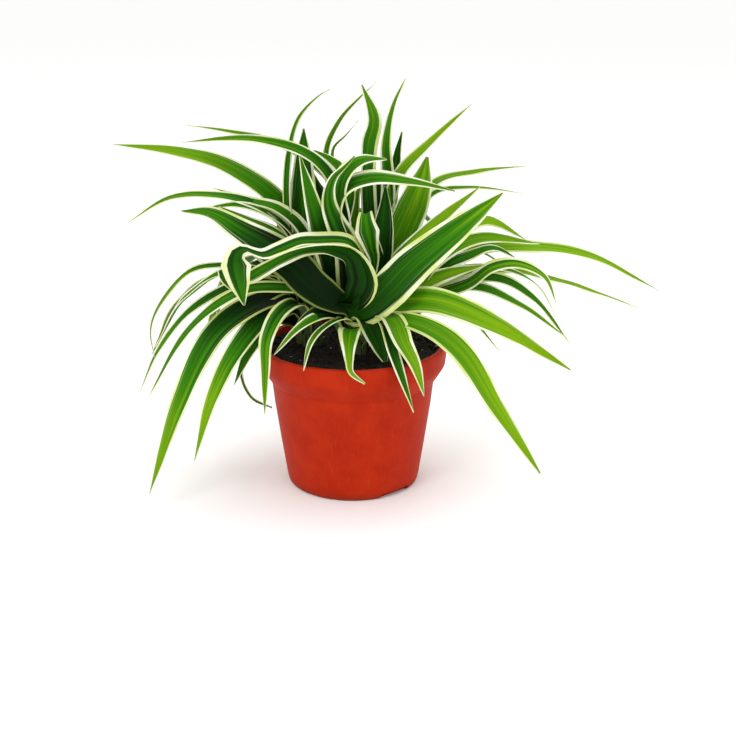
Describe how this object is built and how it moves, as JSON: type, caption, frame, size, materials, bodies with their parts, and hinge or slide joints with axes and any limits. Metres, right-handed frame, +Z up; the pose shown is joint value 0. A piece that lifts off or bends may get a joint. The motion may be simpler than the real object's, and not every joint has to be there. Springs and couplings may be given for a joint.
{
  "type": "potted spider plant",
  "caption": "Arching, variegated spider plant with green leaves edged in cream, growing from tight crowns in dark peat in a round red-orange plastic nursery pot.",
  "frame": {"origin": "middle of the underside of the pot's base, on the plane that it stands on", "axes": "+Z up along the pot's axis; -Y to the front, the side that the picture shows; +X to the right of that view"},
  "size_m": [0.3425, 0.1928, 0.2481],
  "materials": {
    "pot_plastic": "satin",
    "peat": "matte",
    "leaf": "satin"
  },
  "bodies": {
    "root": {"pot": "pot_plastic", "soil": "peat", "rosette_front": "leaf", "rosette_left": "leaf", "rosette_right": "leaf", "rosette_back": "leaf"}
  },
  "joints": []
}
